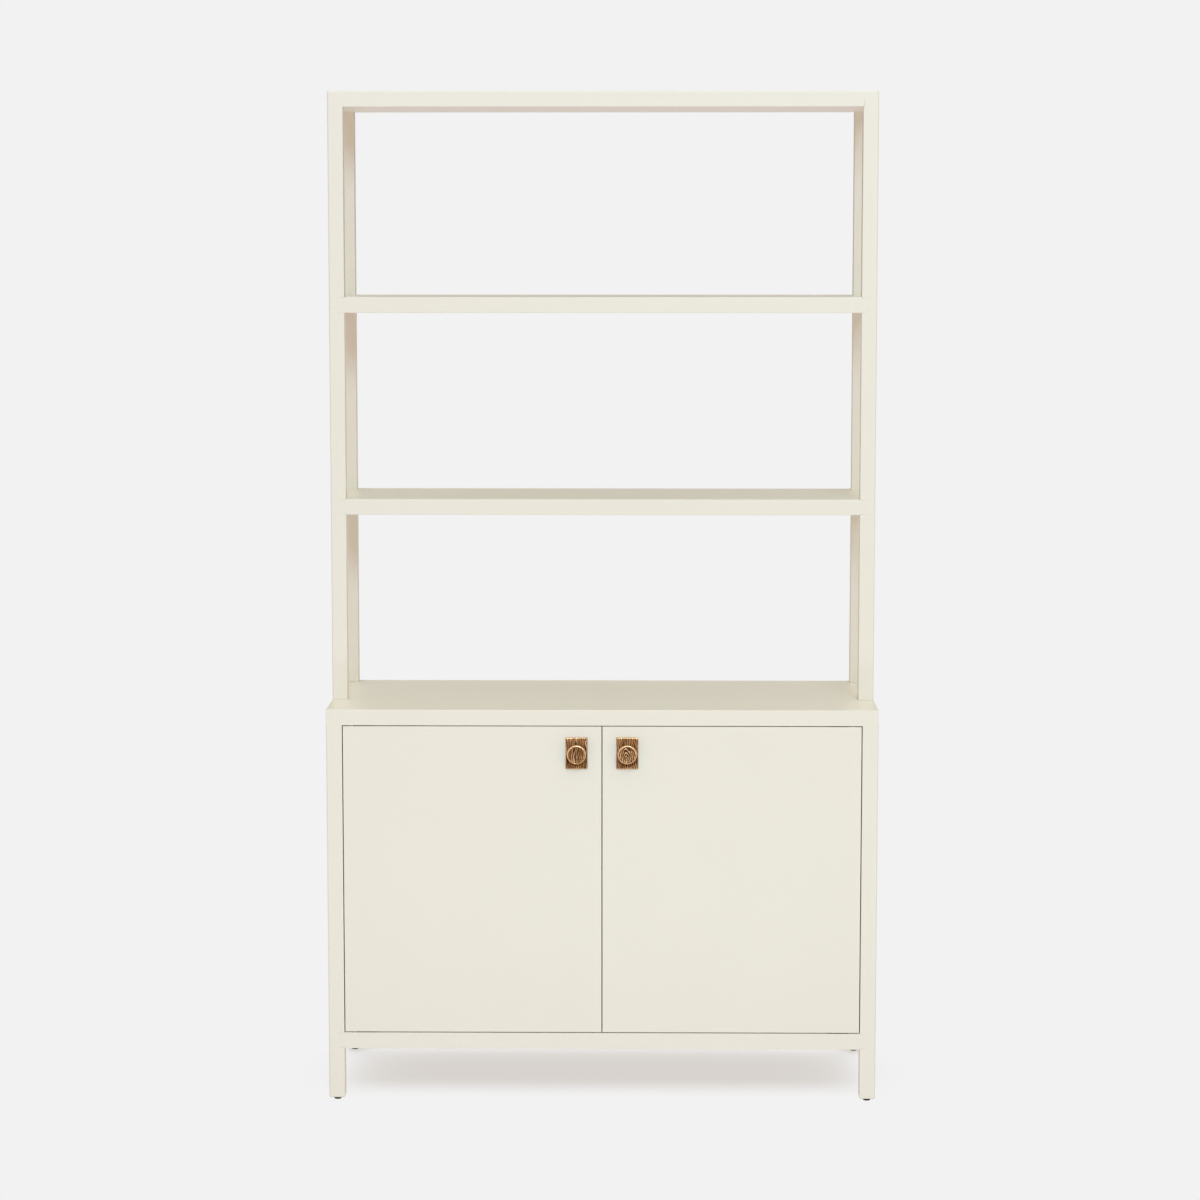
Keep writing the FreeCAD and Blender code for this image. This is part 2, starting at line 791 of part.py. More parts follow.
def write_hinges():
    pins = []
    washers = []
    frame_screws = []
    for side_name, side in SIDES.items():
        for level in ("top", "bottom"):
            export("hinge_frame_leaf_" + level + "_" + side_name, frame_leaf(side, level))
            export("hinge_door_leaf_" + level + "_" + side_name, door_leaf(side, level))
            pins.append(hinge_pin(side, level))
            washers.append(hinge_washer(side, level))
            z, to_door = seat_z(level)
            frame_screws.extend(leaf_screws(side, z, to_door * -1))
    export("hinge_pins", *pins)
    export("hinge_washers", *washers)
    export("hinge_frame_screws", *frame_screws)


def write_doors():
    for side_name, side in SIDES.items():
        export("door_" + side_name, door(side))
        export("backplate_" + side_name, backplate(side))
        export("knob_" + side_name, knob(side))
        export("knob_bolt_" + side_name, knob_bolt(side))
        export("strike_plate_" + side_name, strike_plate(side))
        screws = [strike_screw(side)]
        for level in ("top", "bottom"):
            z, into_door = door_face(level)
            screws.extend(leaf_screws(side, z, into_door))
        export("door_screws_" + side_name, *screws)


def write_hutch():
    for side_name, side in SIDES.items():
        export("hutch_post_front_" + side_name, post(side, -1))
        export("hutch_post_rear_" + side_name, post(side, 1))
        export("hutch_side_rail_lower_" + side_name, hutch_side_rail(side, lower_shelf_z))
        export("hutch_side_rail_upper_" + side_name, hutch_side_rail(side, upper_shelf_z))
    export("hutch_shelf_lower", hutch_shelf(lower_shelf_z))
    export("hutch_shelf_upper", hutch_shelf(upper_shelf_z))
    export("hutch_top", hutch_top())
    export("hutch_dowels", *[dowel.solid() for dowel in HUTCH_DOWELS])
    export("locating_dowels", *[dowel.solid() for dowel in LOCATING_DOWELS])
    export("joining_plates", *[
        cut_all(joining_plate(place), joining_screws(fastener_fit)) for place in joining_places()])
    export("joining_screws", *joining_screws())


os.makedirs("parts", exist_ok=True)
write_base()
write_catch()
write_hinges()
write_doors()
write_hutch()
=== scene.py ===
import json
import math
from contextlib import contextmanager

import bmesh
import bpy
from mathutils import Euler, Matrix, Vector, noise


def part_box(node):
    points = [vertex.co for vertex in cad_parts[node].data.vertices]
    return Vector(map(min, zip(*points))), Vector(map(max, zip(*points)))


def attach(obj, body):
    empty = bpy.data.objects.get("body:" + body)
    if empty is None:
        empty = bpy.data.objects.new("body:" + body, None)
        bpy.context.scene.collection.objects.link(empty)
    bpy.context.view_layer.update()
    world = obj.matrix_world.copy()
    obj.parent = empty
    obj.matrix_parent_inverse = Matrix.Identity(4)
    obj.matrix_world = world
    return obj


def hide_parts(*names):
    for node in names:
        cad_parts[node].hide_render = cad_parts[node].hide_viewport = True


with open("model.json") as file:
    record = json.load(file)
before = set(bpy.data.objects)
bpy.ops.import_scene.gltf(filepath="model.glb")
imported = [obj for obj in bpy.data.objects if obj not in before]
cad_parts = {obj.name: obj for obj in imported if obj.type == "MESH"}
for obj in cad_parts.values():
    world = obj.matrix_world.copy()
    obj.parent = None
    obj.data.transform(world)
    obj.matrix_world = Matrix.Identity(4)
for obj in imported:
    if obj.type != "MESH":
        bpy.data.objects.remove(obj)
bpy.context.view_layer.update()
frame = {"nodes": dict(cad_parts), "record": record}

# Bookcase with hutch: a two-door cabinet on short legs and an open hutch on it, in cream satin
# lacquer, with antique bronze knobs on backplates. Metres: X to the right, Y to the back, Z up.

MM = 0.001
SIDES = {"left": -1, "right": 1}
ENDS = {"front": -1, "rear": 1}

# Lacquered members and doors
outline_round = 3.5 * MM  # the outer corners of each unit, and the legs' feet
opening_round = 1.2 * MM  # every other corner of a member
door_round = 0.9 * MM
round_steps = 4
touching = 0.05 * MM  # members nearer than this meet in one face
let_in_gap = 0.3 * MM  # room round a part that is let into a member
cut_overrun = 5.0 * MM
pin_bore_radius = 3.6 * MM
pin_bore_depth = 10.0 * MM
smooth_below = math.radians(40)
flat_face_weight = 100  # 50 is even; at 100 the large faces rule the shading of their corners most
same_point = 0.001 * MM
facing_front = (math.radians(90), 0, 0)  # turns a flat new shape up, to face the front
corner_from = math.radians(45)  # faces that turn more than this meet in a corner
past_joint = 1.2 * outline_round  # the rounds run out on this length, inside a joint
nearly = 0.99  # the share of a length that counts as all of it
leaf_end_round = 0.499  # of the leaf's width, so that the two rounds don't quite meet
leaf_end_steps = 12
pin_bore_sides = 32

# Knobs and backplates
knob_segments = 240
knob_foot_steps = 6
knob_back_steps = 8
knob_crown_steps = 6
knob_rim_steps = 14
knob_foot_radius = 11.5 * MM
knob_neck_radius = 8.5 * MM
knob_neck_length = 15.0 * MM
knob_back_round = 4.0 * MM
knob_rim_radius = 1.8 * MM
knob_face_depth = 2.2 * MM
rim_dents = 0.25  # how much of its thickness the rim loses at most, where it was hammered
rim_dent_size = 3.0 * MM
ripple_pitch = 4.2 * MM
ripple_depth = 0.75 * MM
painted_shadow_reach = 10.0 * MM  # how far below the knob the plate is darkened by a painted shadow of the knob
plate_cell = 0.6 * MM
plate_edge_ripple = 0.12  # the share of the ripples' depth that is left at the plate's outline
# The plate's border: how far in from its outline and how far back from its front, in mm
plate_border = ((2.4, 0.0), (1.7, 0.22), (1.0, 0.55), (0.4, 0.95), (0.0, 1.5))

# How far the bronze is rubbed bright, from 0 in a dark groove to 1 on a bright ridge, plus painted
# highlights and a painted shadow
knob_body_rub = 0.35
rim_rub = 0.86
rim_top_painted_highlight = 0.25  # a painted highlight: more at the rim's top, where the light falls from above, and less at its foot
rim_dent_rub = 1.8  # less in a dent
plate_rub = 0.1
plate_top_painted_light = 0.08  # painted light: more at the plate's top, which the light from above falls on, and less at its foot
plate_ridge_rub = 0.75
plate_end_painted_highlight = 0.6  # painted highlights along the top and bottom edges, where their slopes catch the light
plate_painted_shadow = 0.6  # a painted shadow: less below the knob
plate_side_rub = 0.5

# Glides
glide_round = 0.8 * MM
glide_dish_radius = 4.0 * MM
glide_dish_depth = 0.8 * MM
glide_round_steps = 5
glide_edge = 0.4 * MM  # the bevel of its upper edge
glide_edge_steps = 2
glide_sides = 48

# Screws, each with the body that carries it
SCREWS = {
    "back_panel_screws": "frame",
    "joining_screws": "frame",
    "catch_screws": "frame",
    "hinge_frame_screws": "frame",
    "door_screws_left": "door_left",
    "door_screws_right": "door_right",
}
screw_edge = 0.2 * MM
screw_slot = 0.8 * MM
screw_sides = 24
# Shares of the head's radius
screw_shank_share = 0.5
screw_tip_share = 0.08
screw_recess_width = 1.25
screw_recess_depth = 0.55
screw_head_least = 0.9  # an end that is wider than this is the head

# Camera, as the photograph was taken
camera_place = (0.0751, -6.8573, 1.9129)
camera_pitch = math.radians(-6.067)
camera_turn = math.radians(0.685)
camera_lens_mm = 91.4
camera_shift_down = 0.03


# Modelling by hand: small helpers

def only(piece):
    """Picks one object and nothing else."""
    bpy.ops.object.select_all(action="DESELECT")
    piece.select_set(True)
    bpy.context.view_layer.objects.active = piece


@contextmanager
def editing(piece):
    """Edit mode on one piece, with nothing of its mesh picked."""
    only(piece)
    bpy.ops.object.mode_set(mode="EDIT")
    bpy.ops.mesh.select_all(action="DESELECT")
    yield
    bpy.ops.object.mode_set(mode="OBJECT")


def pick(piece, kind, wanted):
    """Picks the faces or the edges for which wanted(element) is true."""
    bpy.ops.mesh.select_mode(type=kind)
    bpy.ops.mesh.select_all(action="DESELECT")
    mesh = bmesh.from_edit_mesh(piece.data)
    mesh.normal_update()
    for element in mesh.faces if kind == "FACE" else mesh.edges:
        element.select_set(wanted(element))
    mesh.select_flush_mode()
    bmesh.update_edit_mesh(piece.data)


def settle(piece, name):
    """Names a new primitive and moves its place into its mesh."""
    piece.name = name
    piece.data.name = name
    only(piece)
    bpy.ops.object.transform_apply(location=True, rotation=True, scale=True)
    return piece


def block(name, low, high):
    bpy.ops.object.select_all(action="DESELECT")
    low, high = Vector(low), Vector(high)
    bpy.ops.mesh.primitive_cube_add(size=1, location=(low + high) / 2, scale=high - low)
    return settle(bpy.context.object, name)


def apply_modifiers(piece):
    only(piece)
    for modifier in list(piece.modifiers):
        bpy.ops.object.modifier_apply(modifier=modifier.name)


def carve(piece, cutters):
    """Cuts each cutter out of the piece and throws the cutter away."""
    for cutter in cutters:
        cut = piece.modifiers.new("cut", "BOOLEAN")
        cut.operation = "DIFFERENCE"
        cut.solver = "EXACT"
        cut.object = cutter
        apply_modifiers(piece)
        bpy.data.meshes.remove(cutter.data)


def smooth(piece):
    """Soft shading over the rounds, with the flat faces kept flat."""
    only(piece)
    bpy.ops.object.shade_smooth_by_angle(angle=smooth_below)
    weighted = piece.modifiers.new("weighted", "WEIGHTED_NORMAL")
    weighted.keep_sharp = True
    weighted.weight = flat_face_weight
    apply_modifiers(piece)


def middle(edge):
    return (edge.verts[0].co + edge.verts[1].co) / 2


def inside(point, box):
    low, high = box
    return all(low[i] - touching <= point[i] <= high[i] + touching for i in range(3))


def is_corner(edge):
    """True for an outer corner, not for an edge that lies in a flat face or in an inner corner."""
    return len(edge.link_faces) == 2 and edge.calc_face_angle_signed(0) > corner_from


def ease(piece, radius):
    """Rounds every corner alike."""
    with editing(piece):
        pick(piece, "EDGE", is_corner)
        bpy.ops.mesh.bevel(offset=radius, segments=round_steps, profile=0.5, clamp_overlap=True)


def ease_member(piece, neighbours, unit):
    """Rounds the free corners, those of the unit's outline most. Over a joint the lacquer runs on."""
    own_low, own_high = box_around(vertex.co for vertex in piece.data.vertices)
    with editing(piece):
        for low, high in neighbours:
            for axis in range(3):
                for place, further in ((low[axis], past_joint), (high[axis], -past_joint)):
                    if min(place - own_low[axis], own_high[axis] - place) > 2 * past_joint:
                        split(axis, place)
                        split(axis, place + further)
        for radius, outer in ((opening_round, False), (outline_round, True)):
            pick(piece, "EDGE", lambda e: is_free_corner(e, neighbours) and on_outline(e, unit) == outer)
            bpy.ops.transform.edge_bevelweight(value=radius / outline_round)
    rounded = piece.modifiers.new("rounded", "BEVEL")
    rounded.limit_method = "WEIGHT"
    rounded.width = outline_round
    rounded.segments = round_steps
    apply_modifiers(piece)


def is_free_corner(edge, neighbours):
    return is_corner(edge) and not any(inside(middle(edge), box) for box in neighbours)


def on_outline(edge, unit):
    """True for an edge on two faces of the unit's box, or under its feet."""
    spot = middle(edge)
    faces = [abs(spot[axis] - bound[axis]) < touching for bound in unit for axis in range(3)]
    return sum(faces) > 1 or faces[2]


def box_around(spots):
    spots = list(spots)
    return (Vector(min(spot[axis] for spot in spots) for axis in range(3)),
            Vector(max(spot[axis] for spot in spots) for axis in range(3)))


def split(axis, place):
    """Puts a ring of edges round the piece in edit mode, where a plane across one axis meets it."""
    bpy.ops.mesh.select_all(action="SELECT")
    at, normal = [0, 0, 0], [0, 0, 0]
    at[axis], normal[axis] = place, 1
    bpy.ops.mesh.bisect(plane_co=at, plane_no=normal)


def grown(box, gap):
    low, high = box
    return low - Vector((gap, gap, gap)), high + Vector((gap, gap, gap))


# Lacquered members

CABINET = ["base_top"]
CABINET += [f"leg_{end}_{side}" for end in ENDS for side in SIDES]
CABINET += [f"bottom_rail_{place}" for place in ("front", "rear", "left", "right")]
HUTCH = ["hutch_top", "hutch_shelf_upper", "hutch_shelf_lower"]
HUTCH += [f"hutch_post_{end}_{side}" for end in ENDS for side in SIDES]
HUTCH += [f"hutch_side_rail_{level}_{side}" for level in ("upper", "lower") for side in SIDES]


def leaf_cutter(node, up):
    """The housing of a hinge leaf, round at its pivot end, open upwards or downwards."""
    low, high = grown(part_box(node), let_in_gap)
    if up:
        high.z += cut_overrun
    else:
        low.z -= cut_overrun
    cutter = block("leaf_cutter", low, high)
    outer = max(abs(low.x), abs(high.x))
    with editing(cutter):
        pick(cutter, "EDGE", lambda e: abs(abs(middle(e).x) - outer) < touching and is_upright(e))
        bpy.ops.mesh.bevel(
            offset=(high.y - low.y) * leaf_end_round, segments=leaf_end_steps, profile=0.5)
    return cutter


def is_upright(edge):
    along = edge.verts[1].co - edge.verts[0].co
    return abs(along.z) > nearly * along.length


def frame_leaf_cutters(level):
    return [leaf_cutter(f"hinge_frame_leaf_{level}_{side}", level == "bottom") for side in SIDES]


def joining_cutters():
    """The housings of the two joining plates in the back faces."""
    low, high = grown(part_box("joining_plates"), let_in_gap)
    cutters = []
    for side in SIDES:
        post_low, post_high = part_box(f"hutch_post_rear_{side}")
        centre = (post_low.x + post_high.x) / 2
        half = abs(abs(low.x) - abs(centre))
        cutters.append(block(
            "joining_cutter", (centre - half, low.y, low.z), (centre + half, high.y + cut_overrun, high.z)))
    return cutters


def panel_cutter(node):
    """The rebate of a panel, open to the back for the back panel."""
    low, high = grown(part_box(node), let_in_gap)
    if node == "back_panel":
        high.y += cut_overrun
        high.z += cut_overrun
    return block("panel_cutter", low, high)


def cutters_of(node):
    if node == "base_top":
        return joining_cutters() + frame_leaf_cutters("top")
    if node.startswith("leg_rear"):
        return [panel_cutter("back_panel")]
    if node.startswith("hutch_post_rear"):
        return joining_cutters()
    if node == "bottom_rail_front":
        return [panel_cutter("bottom_panel")] + frame_leaf_cutters("bottom")
    if node == "bottom_rail_rear":
        return [panel_cutter("bottom_panel")]
    return []


def dress(piece, body, slot, material, *nodes):
    """Says which body carries the piece, what it stands for and its finish."""
    piece.data.materials.clear()
    piece.data.materials.append(material)
    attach(piece, body)
    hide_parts(*nodes)
    return piece


def make_members(group, material):
    unit = box_around(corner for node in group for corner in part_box(node))
    if group is HUTCH:
        unit[0].z = 0  # its posts stand on the cabinet and have no feet
    for node in group:
        piece = block(node + "_lacquered", *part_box(node))
        carve(piece, cutters_of(node))
        ease_member(piece, [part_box(other) for other in group if other != node], unit)
        smooth(piece)
        dress(piece, "frame", "cream_lacquer", material, node)


def make_cabinet_shelf(material):
    piece = block("cabinet_shelf_lacquered", *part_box("cabinet_shelf"))
    ease(piece, opening_round)
    smooth(piece)
    dress(piece, "frame", "cream_lacquer", material, "cabinet_shelf")


def pin_bore(side, level):
    """The bore in a door's edge that the hinge pin turns in."""
    low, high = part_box(f"hinge_door_leaf_{level}_{side}")
    radius = (high.y - low.y) / 2
    x = SIDES[side] * (max(abs(low.x), abs(high.x)) - radius)
    z = high.z if level == "top" else low.z
    bpy.ops.object.select_all(action="DESELECT")
    bpy.ops.mesh.primitive_cylinder_add(
        vertices=pin_bore_sides, radius=pin_bore_radius, depth=2 * pin_bore_depth,
        location=(x, low.y + radius, z))
    return settle(bpy.context.object, "pin_bore")


def make_door(side, material):
    piece = block(f"door_{side}_lacquered", *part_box(f"door_{side}"))
    ease(piece, door_round)
    for level in ("top", "bottom"):
        housing = leaf_cutter(f"hinge_door_leaf_{level}_{side}", level == "top")
        carve(piece, [housing, pin_bore(side, level)])
    smooth(piece)
    dress(piece, f"door_{side}", "cream_lacquer", material, f"door_{side}")


# Cast bronze: backplates and knobs

def arc(centre, radius, start, end, steps):
    """Points round a centre, each as (distance from the axis, distance out), after the first."""
    angles = [math.radians(start + (end - start) * i / steps) for i in range(1, steps + 1)]
    return [(centre[0] + radius * math.cos(a), centre[1] + radius * math.sin(a)) for a in angles]


def knob_rings(radius, front):
    """The knob's section from its foot on the plate to the inside of its rim."""
    flare = knob_foot_radius - knob_neck_radius
    neck_end = knob_neck_length - knob_back_round
    crown = radius - knob_rim_radius
    rim_centre = front - knob_rim_radius
    rings = [(knob_foot_radius, 0)]
    rings += arc((knob_foot_radius, flare), flare, 270, 180, knob_foot_steps)
    rings += [(knob_neck_radius, neck_end)]
    rings += arc(
        (knob_neck_radius + knob_back_round, neck_end), knob_back_round, 180, 90, knob_back_steps)
    rings += [(crown, knob_neck_length)]
    rings += arc(
        (crown, knob_neck_length + knob_rim_radius), knob_rim_radius, -90, 0, knob_crown_steps)
    rings += [(radius, rim_centre)]
    rings += arc((crown, rim_centre), knob_rim_radius, 0, 180, knob_rim_steps)
    rings += [(crown - knob_rim_radius, front - knob_face_depth)]
    return rings


def waver(*place):
    return noise.noise(Vector(place))


# The ripples measure in pitches: how far the ridges wander, and over what length they do so.

def ridged(phase, strength, chatter):
    """0 in a groove to 1 on a ridge. The phase counts the ridges."""
    ridge = 0.5 + 0.5 * math.cos(2 * math.pi * phase)
    return min(max(ridge * strength + chatter, 0), 1)


def upright_ripple(across, up, seed):
    """Upright ridges that wander, split and fade."""
    across, up = across / ripple_pitch, up / ripple_pitch
    wander = 0.6 * waver(across / 1.6, up / 4, seed)
    sway = 1.1 * waver(across / 5, up / 6, seed + 7)
    strength = 0.85 + 0.5 * waver(across / 3, up / 3, seed + 5)
    chatter = 0.18 * waver(across * 2, up * 1.1, seed + 3)
    return ridged(across + wander + sway, strength, chatter)


def arching_ripple(across, up, seed):
    """Upright ridges that bend over into arches higher up, like the lines of a fingerprint."""
    across, up = across / ripple_pitch, up / ripple_pitch
    # From the centre of the arches, and lower down from the upright line below it
    away = math.hypot(across + 0.5, 0.8 * max(up - 0.3, 0))
    wander = 0.8 * waver(across / 2.5, up / 2.5, seed)
    shiver = 0.25 * waver(across, up, seed + 9)
    strength = 0.95 + 0.4 * waver(across / 2, up / 2, seed + 5)
    chatter = 0.25 * waver(across * 1.3, up * 1.3, seed + 3)
    return ridged(away + wander + shiver, strength, chatter)


def set_rub_and_light(piece, rubs_and_light):
    """Keeps how far each point is rubbed bright, 0 to 1, with its painted highlights and shadow, for the
    bronze to read.
    """
    rub_and_light = piece.data.attributes.new("rub_and_light", "FLOAT", "POINT")
    rub_and_light.data.foreach_set("value", [min(max(value, 0), 1) for value in rubs_and_light])


def turn_knob(name, foot, radius, front):
    """The knob's plain body, ring by ring from its foot to its rim, and its face as a grid."""
    rings = knob_rings(radius, front)
    bpy.ops.object.select_all(action="DESELECT")
    bpy.ops.mesh.primitive_circle_add(
        vertices=knob_segments, radius=rings[0][0], location=foot, rotation=facing_front)
    piece = settle(bpy.context.object, name)
    with editing(piece):
        bpy.ops.mesh.select_mode(type="EDGE")
        bpy.ops.mesh.select_all(action="SELECT")
        for (before, out_before), (after, out_after) in zip(rings, rings[1:]):
            share = after / before
            bpy.ops.mesh.extrude_edges_move(
                TRANSFORM_OT_translate={"value": (0, out_before - out_after, 0)})
            bpy.ops.transform.resize(value=(share, 1, share))
        bpy.ops.mesh.fill_grid(span=knob_segments // 4)
        pick(piece, "EDGE", lambda e: e.is_boundary)
        bpy.ops.mesh.edge_face_add()
        bpy.ops.mesh.select_all(action="SELECT")
        bpy.ops.mesh.normals_make_consistent(inside=False)
    return piece


def make_knob(side, material, ripple, tone, contrast, seed):
    """A knob with a dented rim and a rippled face. Tone and contrast are those of its face."""
    low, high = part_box(f"knob_{side}")
    centre_x, centre_z = (low.x + high.x) / 2, (low.z + high.z) / 2
    radius, front = (high.x - low.x) / 2, high.y - low.y
    piece = turn_knob(f"knob_{side}_cast", (centre_x, high.y, centre_z), radius, front)
    face_y = high.y - (front - knob_face_depth)
    face_radius = radius - 2 * knob_rim_radius
    rim_middle, rim_y = radius - knob_rim_radius, high.y - front + knob_rim_radius
    rubs_and_light = []
    for vertex in piece.data.vertices:
        across, up = vertex.co.x - centre_x, vertex.co.z - centre_z
        away = math.hypot(across, up)
        if abs(vertex.co.y - face_y) < touching and away < face_radius - touching:
            height = ripple(across, up, seed)
            rise = min((face_radius - away) / ripple_pitch, 1)
            vertex.co.y -= ripple_depth * height * rise
            rubs_and_light.append(tone + contrast * (height - 0.5))
        elif vertex.co.y < rim_y + touching and away > face_radius - touching:
            dent = rim_dents * (0.5 + 0.5 * waver(across / rim_dent_size, up / rim_dent_size, seed))
            share = (away + (rim_middle - away) * dent) / away
            vertex.co.x, vertex.co.z = centre_x + across * share, centre_z + up * share
            vertex.co.y += (rim_y - vertex.co.y) * dent
            # the rim's top gets a painted highlight and its foot a painted shade
            rubs_and_light.append(rim_rub + rim_top_painted_highlight * up / away - rim_dent_rub * (dent - rim_dents / 2))
        else:
            rubs_and_light.append(knob_body_rub)
    set_rub_and_light(piece, rubs_and_light)
    smooth(piece)
    dress(piece, f"door_{side}", "antique_bronze", material, f"knob_{side}")


def painted_knob_shadow(across, up, knob_radius):
    """The painted shadow of the knob: 1 on the plate just below the knob, and 0 from the end of the shadow
    on and above it.
    """
    away = math.hypot(across, up)
    near = 1 - max(away - knob_radius, 0) / painted_shadow_reach
    return max(near, 0) * max(-up, 0) / max(away, touching)


def press_plate(name, front, half_width, half_height, border):
    """The backplate's plain body: a fine grid inside a border that falls away to the back."""
    flat = border[0][0]
    cells = (round(2 * (half_width - flat) / plate_cell), round(2 * (half_height - flat) / plate_cell))
    bpy.ops.object.select_all(action="DESELECT")
    bpy.ops.mesh.primitive_grid_add(
        x_subdivisions=cells[0], y_subdivisions=cells[1], size=2, location=front, rotation=facing_front)
    bpy.context.object.scale = (half_width - flat, half_height - flat, 1)
    piece = settle(bpy.context.object, name)
    with editing(piece):
        pick(piece, "EDGE", lambda e: e.is_boundary)
        for (inset, sunk), (next_inset, next_sunk) in zip(border, border[1:]):
            bpy.ops.mesh.extrude_edges_move(TRANSFORM_OT_translate={"value": (0, next_sunk - sunk, 0)})
            wider = (half_width - next_inset) / (half_width - inset)
            taller = (half_height - next_inset) / (half_height - inset)
            bpy.ops.transform.resize(value=(wider, 1, taller))
        bpy.ops.mesh.edge_face_add()
        bpy.ops.mesh.select_all(action="SELECT")
        bpy.ops.mesh.normals_make_consistent(inside=False)
    return piece


def make_backplate(side, material, seed):
    """A rippled backplate, darker below its knob with a painted shadow, and lighter to its top and along
    its top and bottom edges with painted light.
    """
    low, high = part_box(f"backplate_{side}")
    centre = (low + high) / 2
    half_width, half_height = (high.x - low.x) / 2, (high.z - low.z) / 2
    border = [(inset * MM, sunk * MM) for inset, sunk in plate_border] + [(0, high.y - low.y)]
    flat = border[0][0]
    piece = press_plate(
        f"backplate_{side}_cast", (centre.x, low.y, centre.z), half_width, half_height, border)
    knob_low, knob_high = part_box(f"knob_{side}")
    knob_radius = (knob_high.x - knob_low.x) / 2
    rubs_and_light = []
    for vertex in piece.data.vertices:
        across, up = vertex.co.x - centre.x, vertex.co.z - centre.z
        height = upright_ripple(across, up, seed)
        inner = min(half_width - abs(across), half_height - abs(up), flat) / flat
        top_or_foot = 1 - min(half_height - abs(up), flat) / flat
        if vertex.co.y < low.y + border[-2][1] - touching:
            share = plate_edge_ripple + (1 - plate_edge_ripple) * inner
            vertex.co.y += ripple_depth * (1 - height) * share
            # lighter towards the plate's top: painted light from above
            tone = plate_rub + plate_top_painted_light * up / half_height
            # a painted shadow below the knob
            tone -= plate_painted_shadow * painted_knob_shadow(across, up, knob_radius)
            # the top and bottom edges get painted highlights
            rubs_and_light.append(tone + plate_ridge_rub * height + plate_end_painted_highlight * top_or_foot)
        else:
            rubs_and_light.append(plate_side_rub)
    set_rub_and_light(piece, rubs_and_light)
    smooth(piece)
    dress(piece, f"door_{side}", "antique_bronze", material, f"backplate_{side}")


# Screws

def make_first_screw(place, radius, length):
    """A countersunk screw with a cross recess, its head at the top and flush with the place."""
    bpy.ops.object.select_all(action="DESELECT")
    bpy.ops.mesh.primitive_circle_add(vertices=screw_sides, radius=radius, location=place)
    piece = settle(bpy.context.object, "screw")
    rings = [(1.0, screw_edge), (screw_shank_share, radius * (1 - screw_shank_share))]
    rings += [(screw_shank_share, length - rings[1][1] - screw_edge - radius * screw_shank_share)]
    rings += [(screw_tip_share, radius * screw_shank_share)]
    with editing(piece):
        bpy.ops.mesh.select_mode(type="EDGE")
        bpy.ops.mesh.select_all(action="SELECT")
        before = 1.0
        for share, down in rings:
            bpy.ops.mesh.extrude_edges_move(TRANSFORM_OT_translate={"value": (0, 0, -down)})
            bpy.ops.transform.resize(value=(share / before, share / before, 1))
            before = share
        bpy.ops.mesh.edge_face_add()
        pick(piece, "EDGE", lambda e: e.is_boundary)
        bpy.ops.mesh.edge_face_add()
        bpy.ops.mesh.select_all(action="SELECT")
        bpy.ops.mesh.normals_make_consistent(inside=False)
    wide, deep = radius * screw_recess_width, radius * screw_recess_depth
    for half_x, half_y in ((wide / 2, screw_slot / 2), (screw_slot / 2, wide / 2)):
        half = Vector((half_x, half_y, deep))
        carve(piece, [block("recess_cutter", Vector(place) - half, Vector(place) + half)])
    smooth(piece)
    return piece


def solids_of(node):
    """The points of each separate solid in a node of the frame, in the order of its mesh."""
    mesh = bmesh.new()
    mesh.from_mesh(frame["nodes"][node].data)
    bmesh.ops.remove_doubles(mesh, verts=mesh.verts, dist=same_point)
    seen = set()
    solids = []
    for start in mesh.verts:
        if start in seen:
            continue
        seen.add(start)
        reached, found = [start], []
        while reached:
            vertex = reached.pop()
            found.append(vertex.co.copy())
            for edge in vertex.link_edges:
                other = edge.other_vert(vertex)
                if other not in seen:
                    seen.add(other)
                    reached.append(other)
        solids.append(found)
    mesh.free()
    return solids


def screw_pose(spots):
    """Where a screw's head is, its head radius, its length, and the turn from pointing down."""
    low, high = box_around(spots)
    size = high - low
    along = max(range(3), key=lambda axis: size[axis])
    radius = min(size) / 2
    centre = (low + high) / 2
    at_low = [spot for spot in spots if spot[along] < low[along] + touching]
    wide_at_low = max((spot - centre)[axis] for spot in at_low for axis in range(3) if axis != along)
    head_low = wide_at_low > screw_head_least * radius
    head = centre.copy()
    head[along] = low[along] if head_low else high[along]
    way = Vector((0, 0, 0))
    way[along] = 1 if head_low else -1
    return head, radius, size[along], Vector((0, 0, -1)).rotation_difference(way)


def make_screws(material):
    """One modelled screw, copied to the place of each screw."""
    first = None
    for node, body in SCREWS.items():
        for number, spots in enumerate(solids_of(node), 1):
            head, radius, length, turn = screw_pose(spots)
            if first is None:
                first = make_first_screw((0, 0, 0), radius, length)
                first_length = length
            piece = first.copy()
            piece.data = first.data.copy()
            bpy.context.collection.objects.link(piece)
            piece.rotation_mode = "QUATERNION"
            piece.rotation_quaternion = turn
            piece.location = head
            piece.scale = (1, 1, length / first_length)
            settle(piece, f"{node}_{number}")
            dress(piece, body, "steel", material, node)
    bpy.data.meshes.remove(first.data)


# Glides

def make_glides(material):
    """One glide with a rounded, dished foot, copied under each leg."""
    first = None
    for end in ENDS:
        for side in SIDES:
            leg_low, leg_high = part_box(f"leg_{end}_{side}")
            at = Vector(((leg_low.x + leg_high.x) / 2, (leg_low.y + leg_high.y) / 2, 0))
            if first is None:
                first, first_at = make_glide(at, leg_low.z), at
                piece = first
            else:
                piece = first.copy()
                piece.data = first.data.copy()
                bpy.context.collection.objects.link(piece)
                piece.location = at - first_at
            settle(piece, f"glide_{end}_{side}")
            dress(piece, "frame", "black_glide", material, "glides")


